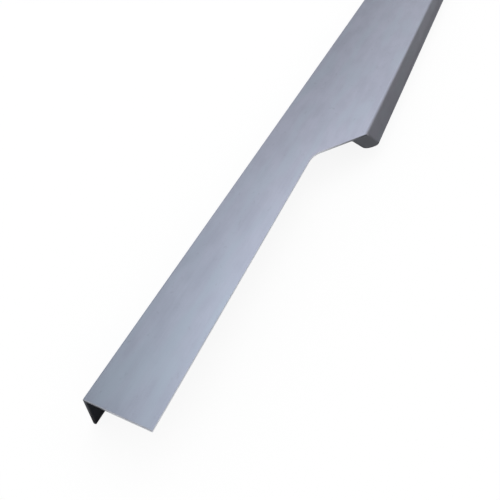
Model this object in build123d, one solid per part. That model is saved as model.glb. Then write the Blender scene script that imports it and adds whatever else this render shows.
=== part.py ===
from build123d import *
import os
from math import cos, radians, tan

# Edge pull for a cabinet front: one length of aluminium section, cut back at both ends.
# X runs along the length, the lip faces -Y, the screwed leg is at +Y and Z is up.
# The origin is the middle of the footprint, on the floor that the leg stands on.

# Lengths
length = 597.0
tab_length = 124.5

# Section, measured forward from the rear face and down from the top face
tab_depth = 21.0
grip_depth = 36.8
plate_wall = 1.0
leg_wall = 1.0
leg_height = 14.5
lip_drop = 8.8
lip_lean = 34.0
lip_root = 4.35
lip_back_lean = 34.5

# Rounding of the section
heel_round = 0.4
inner_round = 0.5
leg_tip_round = 0.3
fold_round = 1.8
nose_round = 1.0
sole_round = 5.0
throat_round = 1.0

# Cut at the ends, seen from above
cut_angle = 35.0
cut_corner_round = 12.0
leg_end_round = 0.3

# Countersunk screw holes in the leg
hole_count = 4
hole_pitch = 170.0
hole_diameter = 3.4
countersink_diameter = 5.0
countersink_angle = 90.0

# Sizes that follow from the ones above
lip_point = lip_drop * tan(radians(lip_lean))
nose_centre = (lip_drop - nose_round) * tan(radians(lip_lean)) - nose_round / cos(radians(lip_lean))
overall_depth = grip_depth + nose_centre + nose_round
rear_y = overall_depth / 2
front_y = -overall_depth / 2
top_z = leg_height
under_z = top_z - plate_wall
leg_inner_y = rear_y - leg_wall
fold_y = rear_y - grip_depth
tab_y = rear_y - tab_depth
throat_y = fold_y + lip_root
sole_z = top_z - lip_drop
sole_rear_y = throat_y - (under_z - sole_z) * tan(radians(lip_back_lean))
hole_z = under_z / 2
clear = 2.0


# The section is one closed outline: plate, leg behind, lip leaning forward in front
def section_face():
    rounds = [
        ((rear_y, top_z), heel_round),
        ((rear_y, 0.0), leg_tip_round),
        ((leg_inner_y, 0.0), leg_tip_round),
        ((leg_inner_y, under_z), inner_round),
        ((throat_y, under_z), throat_round),
        ((sole_rear_y, sole_z), sole_round),
        ((fold_y - lip_point, sole_z), nose_round),
        ((fold_y, top_z), fold_round),
    ]
    with BuildSketch(Plane.YZ) as sketch:
        with BuildLine():
            Polyline(*[corner for corner, radius in rounds], close=True)
        make_face()
        for corner, radius in rounds:
            fillet(sketch.vertices().sort_by_distance(corner)[0], radius)
    return sketch.sketch


# Seen from above, an end loses the plate and lip in front of its tab, up to a slanting cut
def end_cutter():
    inner_x = length / 2 - tab_length
    cut_y = front_y - clear
    outer_x = inner_x - (tab_y - cut_y) / tan(radians(cut_angle))
    end_x = length / 2 + clear
    corner = (inner_x, tab_y)
    with BuildPart() as cutter:
        with BuildSketch(Plane.XY.offset(-clear)) as plan:
            with BuildLine():
                Polyline((end_x, tab_y), corner, (outer_x, cut_y), (end_x, cut_y), close=True)
            make_face()
            fillet(plan.vertices().sort_by_distance(corner)[0], cut_corner_round)
        extrude(amount=top_z + 2 * clear)
    return cutter.part


# Seen from behind, the lower corners of the leg are eased at both ends
def side_outline():
    with BuildPart() as block:
        with BuildSketch(Plane.XZ) as side:
            with Locations((0, top_z / 2)):
                Rectangle(length, top_z)
            fillet(side.vertices().group_by(Axis.Y)[0], leg_end_round)
        extrude(amount=overall_depth, both=True)
    return block.part


# One screw hole with its countersink, sunk from the rear face of the leg
def screw_hole(x):
    countersink_depth = (countersink_diameter - hole_diameter) / 2 / tan(radians(countersink_angle / 2))
    outward = Plane(origin=(x, rear_y, hole_z), x_dir=(1, 0, 0), z_dir=(0, 1, 0))
    low = (Align.CENTER, Align.CENTER, Align.MIN)
    bore = outward.offset(-leg_wall - clear) * Cylinder(hole_diameter / 2, leg_wall + 2 * clear, align=low)
    sink = outward.offset(-countersink_depth) * Cone(
        hole_diameter / 2, countersink_diameter / 2, countersink_depth, align=low
    )
    return bore + sink


def edge_pull():
    pull = extrude(section_face(), amount=length / 2, both=True)
    cutter = end_cutter()
    pull -= cutter
    pull -= mirror(cutter, about=Plane.YZ)
    pull &= side_outline()
    for index in range(hole_count):
        pull -= screw_hole((index - (hole_count - 1) / 2) * hole_pitch)
    return pull


os.makedirs("parts", exist_ok=True)
export_step(edge_pull(), "parts/edge_pull.step")
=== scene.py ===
# %% [markdown]
# # An edge pull of satin aluminium
# The handle is one length of aluminium section: a flat plate, an upright leg behind it and a
# grip lip that leans forward. Its shape comes ready made from the frame, so the work here is
# the finish of the metal, a quiet studio and a camera that looks along the handle.

# %% The handle and its box
from math import radians

import bpy
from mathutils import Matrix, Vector


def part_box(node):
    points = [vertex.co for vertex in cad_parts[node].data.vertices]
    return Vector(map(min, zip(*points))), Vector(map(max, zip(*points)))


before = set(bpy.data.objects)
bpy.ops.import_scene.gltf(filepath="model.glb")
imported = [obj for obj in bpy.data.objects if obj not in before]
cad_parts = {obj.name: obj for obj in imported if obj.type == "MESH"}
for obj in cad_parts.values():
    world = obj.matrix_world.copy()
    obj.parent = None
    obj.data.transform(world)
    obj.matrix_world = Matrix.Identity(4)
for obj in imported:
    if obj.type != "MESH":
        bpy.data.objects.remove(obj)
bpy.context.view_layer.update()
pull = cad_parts["edge_pull"]
low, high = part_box("edge_pull")
print("edge pull, millimetres:", [round(1000 * (high[i] - low[i]), 1) for i in range(3)])

# %% [markdown]
# The finish needs to know where the plate, the cuts and the lip are, so the sizes of the section
# are repeated here in metres. Their places are measured from the box of the handle, which was just read.

# %% Where things are on the handle
MM = 0.001
TAB_DEPTH = 21.0 * MM
GRIP_DEPTH = 36.8 * MM
PLATE_WALL = 1.0 * MM
REAR_Y = high.y
TAB_Y = REAR_Y - TAB_DEPTH
FOLD_Y = REAR_Y - GRIP_DEPTH
UNDER_Z = high.z - PLATE_WALL
print("tab edge at y =", round(TAB_Y, 5), "fold at y =", round(FOLD_Y, 5))

# %% [markdown]
# Blender builds a finish out of nodes. Written as a formula it is far easier to read, so one
# small class wraps a number that changes over the surface, and sums on it become Math nodes.

# %% Numbers that change over the surface
class Varying:
    def __init__(self, finish, socket):
        self.finish = finish
        self.socket = socket

    def math(self, operation, *numbers):
        inputs = dict(enumerate(numbers))
        return self.finish.node("ShaderNodeMath", {"operation": operation}, inputs)

    def __add__(self, other):
        return self.math("ADD", self, other)

    def __radd__(self, other):
        return self.math("ADD", other, self)

    def __sub__(self, other):
        return self.math("SUBTRACT", self, other)

    def __rsub__(self, other):
        return self.math("SUBTRACT", other, self)

    def __mul__(self, other):
        return self.math("MULTIPLY", self, other)

    def __rmul__(self, other):
        return self.math("MULTIPLY", other, self)

    def __abs__(self):
        return self.math("ABSOLUTE", self)

    def larger(self, other):
        """The larger of two numbers, which joins two masks into one."""
        return self.math("MAXIMUM", self, other)

    def ramp(self, start, end):
        """0 below start, 1 above end and a soft step between them."""
        settings = {"interpolation_type": "SMOOTHSTEP"}
        inputs = {"Value": self, "From Min": start, "From Max": end}
        return self.finish.node("ShaderNodeMapRange", settings, inputs)


# %% [markdown]
# A finish is a material with its shader. Every node in it is made by one method, which takes the
# node's type, its settings and what its sockets hold, so nothing has to be wired by hand.

# %% A finish and its nodes
class Finish:
    def __init__(self, name):
        self.material = bpy.data.materials.new(name)
        self.material.use_nodes = True
        self.tree = self.material.node_tree
        self.shader = self.tree.nodes["Principled BSDF"]

    def put(self, socket, value):
        if isinstance(value, Varying):
            self.tree.links.new(value.socket, socket)
        else:
            socket.default_value = value

    def node(self, kind, settings, inputs, output=0):
        """One node. A socket is named by its number, its name or its identifier."""
        made = self.tree.nodes.new(kind)
        for name, value in settings.items():
            setattr(made, name, value)
        for key, value in inputs.items():
            if isinstance(key, str):
                sockets = [s for s in made.inputs if key in (s.identifier, s.name)]
                self.put(sockets[0], value)
            else:
                self.put(made.inputs[key], value)
        if isinstance(output, str):
            return Varying(self, [s for s in made.outputs if output in (s.identifier, s.name)][0])
        return Varying(self, made.outputs[output])

    def mix(self, factor, first, second, blend="MIX"):
        """A colour between two others, or the first multiplied by the second."""
        settings = {"data_type": "RGBA", "blend_type": blend}
        inputs = {"Factor_Float": factor, "A_Color": first, "B_Color": second}
        return self.node("ShaderNodeMix", settings, inputs, "Result_Color")

    def noise(self, place, length, width, detail, roughness):
        """Noise whose patches are drawn out along the handle, in metres."""
        inputs = {0: place, 1: (1.0 / length, 1.0 / width, 1.0 / width)}
        spot = self.node("ShaderNodeVectorMath", {"operation": "MULTIPLY"}, inputs)
        inputs = {"Vector": spot, "Scale": 1.0, "Detail": detail, "Roughness": roughness}
        return self.node("ShaderNodeTexNoise", {}, inputs, "Fac")

    def set(self, **values):
        for name, value in values.items():
            self.put(self.shader.inputs[name.replace("_", " ")], value)


# %% [markdown]
# ## The camera
# The photograph looks down along the handle from in front of its near end, so the near tab is
# large and the far half runs out of the top of the picture. The camera stands close, with a
# moderately wide lens, and its place was worked out from the straight edges of the plate.

# %% The camera
camera = bpy.data.objects.new("camera", bpy.data.cameras.new("camera"))
bpy.context.scene.collection.objects.link(camera)
camera.location = (-0.34021, -0.04236, 0.14175)
camera.rotation_euler = (radians(42.596), radians(-1.033), radians(-66.492))
camera.data.sensor_width = 36.0
camera.data.lens = 37.660
camera.data.clip_start = 0.005
camera.data.clip_end = 50.0
bpy.context.scene.camera = camera
bpy.context.scene.view_settings.view_transform = "Standard"
print("camera", [round(v, 4) for v in camera.location])

# %% [markdown]
# ## The edges
# Every sawn edge of the real handle was eased with a file, and those thin rounded lines catch the
# light. The mesh from the frame has its faces apart, so a Weld modifier joins them first. The
# Bevel modifier then rounds the sharp edges only, and leaves the mesh underneath as it was.

# %% Eased edges
joined = pull.modifiers.new("joined faces", "WELD")
joined.merge_threshold = 0.002 * MM
eased = pull.modifiers.new("eased edges", "BEVEL")
eased.width = 0.2 * MM
eased.segments = 2
eased.limit_method = "ANGLE"
eased.angle_limit = radians(40)
eased.use_clamp_overlap = False
eased.harden_normals = True
print("modifiers:", [modifier.name for modifier in pull.modifiers])

# %% [markdown]
# ## The metal
# The real handle is extruded, and the die leaves lines along its length. It is then blasted matt
# and anodised. Up close that leaves three things at three sizes: a fine dry grain, the faint
# lines, and slow clouds where the anodising took a little differently. A fourth noise, the slowest,
# holds the tints, and a fifth a few small smudges from packing and handling, of which only the
# peaks are used. An image could hold all this, but noise has no seams and stays sharp close by.

# %% The grain, the die lines, the clouds, the tints and the smudges
SMUDGE_PEAKS = (0.62, 0.74)
satin = Finish("satin anodised aluminium")
place = satin.node("ShaderNodeTexCoord", {}, {}, "Object")
grain = satin.noise(place, 0.3 * MM, 0.18 * MM, detail=2.0, roughness=0.6)
lines = satin.noise(place, 60 * MM, 0.35 * MM, detail=3.0, roughness=0.6)
clouds = satin.noise(place, 14 * MM, 5 * MM, detail=3.0, roughness=0.6)
tints = satin.noise(place, 30 * MM, 5 * MM, detail=1.0, roughness=0.5)
smudges = satin.noise(place, 3.4 * MM, 2.2 * MM, detail=3.0, roughness=0.65).ramp(*SMUDGE_PEAKS)
print("nodes with the noises:", len(satin.tree.nodes))

# %% [markdown]
# The ends and the slanting cuts were sawn and milled after the section was extruded, so their
# faces are rougher than the skin and a touch less blue. The direction that a face points in tells
# them apart: no face of the extruded section points along the length.

# %% Which faces were cut
def part_of(vector, axis):
    return satin.node("ShaderNodeSeparateXYZ", {}, {0: vector}, axis)


facing = satin.node("ShaderNodeNewGeometry", {}, {}, "True Normal")
along = abs(part_of(facing, "X"))
cut = along.ramp(0.2, 0.4)
print("nodes with the cut faces:", len(satin.tree.nodes))

# %% [markdown]
# The thin edge of the plate is a special case. It is only a millimetre tall, the mill left it matt,
# and it scatters light instead of mirroring the table. It is every upright face within the height
# of the plate, apart from the rear face and the few millimetres nearest the leg. Its colour is
# painted light: a pale painted highlight along the tabs and at the ends, and painted shade that
# grows darker along the slanting cuts as they run on into the lip.

# %% The thin edge of the plate
LEG_CLEAR = 5 * MM
LEG_FAR = 9 * MM
place_y = part_of(place, "Y")
in_plate = part_of(place, "Z").ramp(UNDER_Z - 0.1 * MM, UNDER_Z + 0.05 * MM)
before_leg = 1 - place_y.ramp(REAR_Y - LEG_FAR, REAR_Y - LEG_CLEAR)
upright = 1 - abs(part_of(facing, "Z")).ramp(0.3, 0.6)
thin = upright * in_plate * before_leg
slanting = cut * (1 - along.ramp(0.7, 0.9))
shaded = slanting * (1 - place_y.ramp(FOLD_Y, TAB_Y))
print("thin edge from z =", round(UNDER_Z, 5))

# %% [markdown]
# The lip is the one place that a hand meets, so the edges round its cut end are rounded further
# than a file would leave them. Geometry that soft would swallow the lip's own small curves, so a
# Bevel node bends the light there instead: near an edge it turns the surface towards its neighbour.

# %% The soft edges of the lip
SOFT_RADIUS = 1.0 * MM
lip = (1 - place_y.ramp(TAB_Y - 0.5 * MM, TAB_Y)) * (1 - in_plate)
flat = satin.node("ShaderNodeNewGeometry", {}, {}, "Normal")
turned = satin.node("ShaderNodeBevel", {"samples": 8}, {"Radius": SOFT_RADIUS})
inputs = {"Factor_Float": lip, "A_Vector": flat, "B_Vector": turned}
soft = satin.node("ShaderNodeMix", {"data_type": "VECTOR"}, inputs, "Result_Vector")
print("lip softened in front of y =", round(TAB_Y, 5))

# %% [markdown]
# The colour sits close to one cool grey. The clouds, lines and grain together move it by an eighth
# at most, and the tints turn it a little green in places, which is what stops a flat plate from
# looking like plastic. Towards the ends of the handle it is a little darker and cooler, which is
# painted shade.

# %% The colour of the metal
SKIN = (0.424, 0.445, 0.541, 1.0)
SKIN_DARK = (0.369, 0.390, 0.479, 1.0)
GREENISH = (0.398, 0.448, 0.532, 1.0)
END_SHADE = (0.895, 0.935, 0.940, 1.0)
SMUDGE = (0.24, 0.26, 0.32, 1.0)
SAWN = (0.49, 0.51, 0.57, 1.0)
# The two pale edge colours are painted highlights on the thin edge of the plate, the paler one on its
# front, the other on its ends; the near-black one is painted shade along the slanting cuts.
EDGE_FRONT_HIGHLIGHT = (0.78, 0.80, 0.86, 1.0)
EDGE_END_HIGHLIGHT = (0.64, 0.66, 0.72, 1.0)
EDGE_SHADED = (0.08, 0.085, 0.10, 1.0)
ends = abs(part_of(place, "X")).ramp(0.15, 0.3)
tone = 0.6 * clouds.ramp(0.3, 0.7) + 0.2 * lines.ramp(0.35, 0.65) + 0.2 * grain.ramp(0.3, 0.7)
skin = satin.mix(tone, SKIN_DARK, SKIN)
skin = satin.mix(0.6 * tints.ramp(0.45, 0.7), skin, GREENISH)
# Painted shade: towards both ends the colour is multiplied darker and cooler.
skin = satin.mix(ends, skin, END_SHADE, "MULTIPLY")
skin = satin.mix(0.25 * smudges, skin, SMUDGE)
# The thin edge gets painted highlight or painted shade in place of the metal's colour.
edge = satin.mix(shaded, satin.mix(along, EDGE_FRONT_HIGHLIGHT, EDGE_END_HIGHLIGHT), EDGE_SHADED)
colour = satin.mix(thin, satin.mix(cut, skin, SAWN), edge)
print("nodes with the colour:", len(satin.tree.nodes))

# %% [markdown]
# Satin metal mirrors its surroundings softly, which is a middling roughness. The grain and the
# clouds vary it, and cut faces are rougher. The thin edge is mostly not metallic, so that it
# scatters light. Grain and lines also stand up by a hair, as a bump that no outline would show.

# %% Sheen and relief, and the finish on the handle
BUMP = {"Strength": 0.12, "Distance": 0.02 * MM}
metallic = 1 - 0.75 * thin
roughness = 0.36 + 0.05 * clouds + 0.05 * grain + 0.05 * cut
height = 0.5 * grain + 0.5 * lines
relief = satin.node("ShaderNodeBump", {}, {**BUMP, "Height": height, "Normal": soft}, "Normal")
satin.set(Base_Color=colour, Metallic=metallic, Roughness=roughness, Normal=relief)
pull.data.materials.clear()
pull.data.materials.append(satin.material)
print("finish nodes:", len(satin.tree.nodes))

# %% [markdown]
# ## The studio
# The background of a catalogue picture is pure white, but light thrown on the floor until it
# burns out would spoil the metal. Part of the floor's brightness is therefore its own, and only
# rays from the camera, mirrors and glass see it. The rest is lit, so the shadow stays.

# %% The floor
FLOOR_REACH = 4.0
OWN_LIGHT = 0.9


def sheet(name, corners):
    mesh = bpy.data.meshes.new(name)
    mesh.from_pydata(corners, [], [(0, 1, 2, 3)])
    made = bpy.data.objects.new(name, mesh)
    bpy.context.scene.collection.objects.link(made)
    return made


def level(x0, y0, x1, y1, z):
    return [(x0, y0, z), (x1, y0, z), (x1, y1, z), (x0, y1, z)]


floor = sheet("floor", level(-FLOOR_REACH, -FLOOR_REACH, FLOOR_REACH, FLOOR_REACH, 0.0))
paper = Finish("white paper")
paper.set(Base_Color=(0.93, 0.93, 0.93, 1.0), Roughness=0.9)
kinds = ("Is Camera Ray", "Is Glossy Ray", "Is Transmission Ray")
from_camera, from_metal, from_glass = [paper.node("ShaderNodeLightPath", {}, {}, kind) for kind in kinds]
seen = from_camera.larger(from_metal).larger(from_glass)
glow = paper.node("ShaderNodeEmission", {}, {"Color": (1.0, 1.0, 1.0, 1.0), "Strength": 1.0})
lit = Varying(paper, paper.shader.outputs[0])
surface = paper.node("ShaderNodeMixShader", {}, {0: OWN_LIGHT * seen, 1: lit, 2: glow})
paper.put(paper.tree.nodes["Material Output"].inputs["Surface"], surface)
floor.data.materials.append(paper.material)
print("floor with", len(paper.tree.nodes), "nodes")

# %% [markdown]
# The world is an even white of strength one, at which a colour renders about as it is written.

# %% The world
world = bpy.data.worlds.new("studio")
bpy.context.scene.world = world
world.use_nodes = True
background = world.node_tree.nodes["Background"]
background.inputs["Color"].default_value = (1.0, 1.0, 1.0, 1.0)
background.inputs["Strength"].default_value = 1.0
print("world", world.name)

# %% [markdown]
# Bright metal shows its surroundings, so a photographer puts cards round it and its faces come
# apart. Grey ones lie on the table in front, stand at the ends and hang close behind, and a pale
# one stands in front. Black strips on the table stand for the deep shade under the tab and by the
# near end. Only mirrored light meets them: they throw no shadow and the camera looks through them.

# %% The cards
CARD_REACH = 2.0
CARD_LIFT = 0.2 * MM
CORNER = 16 * MM
BLACK = (0.005, 0.005, 0.005)
DARK = (0.11, 0.11, 0.11)
DIM = (0.18, 0.18, 0.18)
MIDDLE = (0.4, 0.4, 0.4)
WARM = (0.42, 0.385, 0.335)


def card(name, corners, colour):
    made = sheet(name, corners)
    matt = Finish(name)
    matt.set(Base_Color=(0, 0, 0, 1), Roughness=1.0, Emission_Color=(*colour, 1), Emission_Strength=1.0)
    made.data.materials.append(matt.material)
    made.visible_camera = False
    made.visible_diffuse = False
    made.visible_shadow = False
    made.visible_transmission = False
    print(name, "of colour", colour)


def along_card(name, y, bottom, top, colour):
    a, b = -CARD_REACH, CARD_REACH
    card(name, [(a, y, bottom), (b, y, bottom), (b, y, top), (a, y, top)], colour)


def across_card(name, x, bottom, top, colour):
    a, b = -CARD_REACH, CARD_REACH
    card(name, [(x, a, bottom), (x, b, bottom), (x, b, top), (x, a, top)], colour)


card("table card", level(-CARD_REACH, -CARD_REACH, CARD_REACH, TAB_Y, CARD_LIFT), DARK)
card("shade card", level(-CARD_REACH, TAB_Y, CARD_REACH, REAR_Y, CARD_LIFT), BLACK)
card("corner card", level(low.x - CORNER, REAR_Y, low.x, REAR_Y + CORNER, CARD_LIFT), BLACK)
along_card("front card", y=-0.5, bottom=0.0, top=0.3, colour=WARM)
along_card("rear card", y=0.09, bottom=0.08, top=0.25, colour=DIM)
across_card("far card", x=1.0, bottom=0.0, top=0.35, colour=MIDDLE)
across_card("near card", x=-0.8, bottom=0.0, top=0.2, colour=DIM)

# %% [markdown]
# One broad soft lamp hangs high beyond the far end. The near tab, which the camera looks down on,
# mirrors it, and it gives the shadow its direction.

# %% The lamp
AIM = Vector((-0.1, 0.0, 0.0))
lamp = bpy.data.objects.new("softbox", bpy.data.lights.new("softbox", "AREA"))
bpy.context.scene.collection.objects.link(lamp)
lamp.data.shape = "RECTANGLE"
lamp.data.size = 0.9
lamp.data.size_y = 0.9
lamp.data.energy = 2.95
lamp.location = (0.5, 0.2, 1.2)
beam = AIM - lamp.location
lamp.rotation_euler = beam.to_track_quat("-Z", "Y").to_euler()
print("softbox", round(beam.length, 2), "m away")
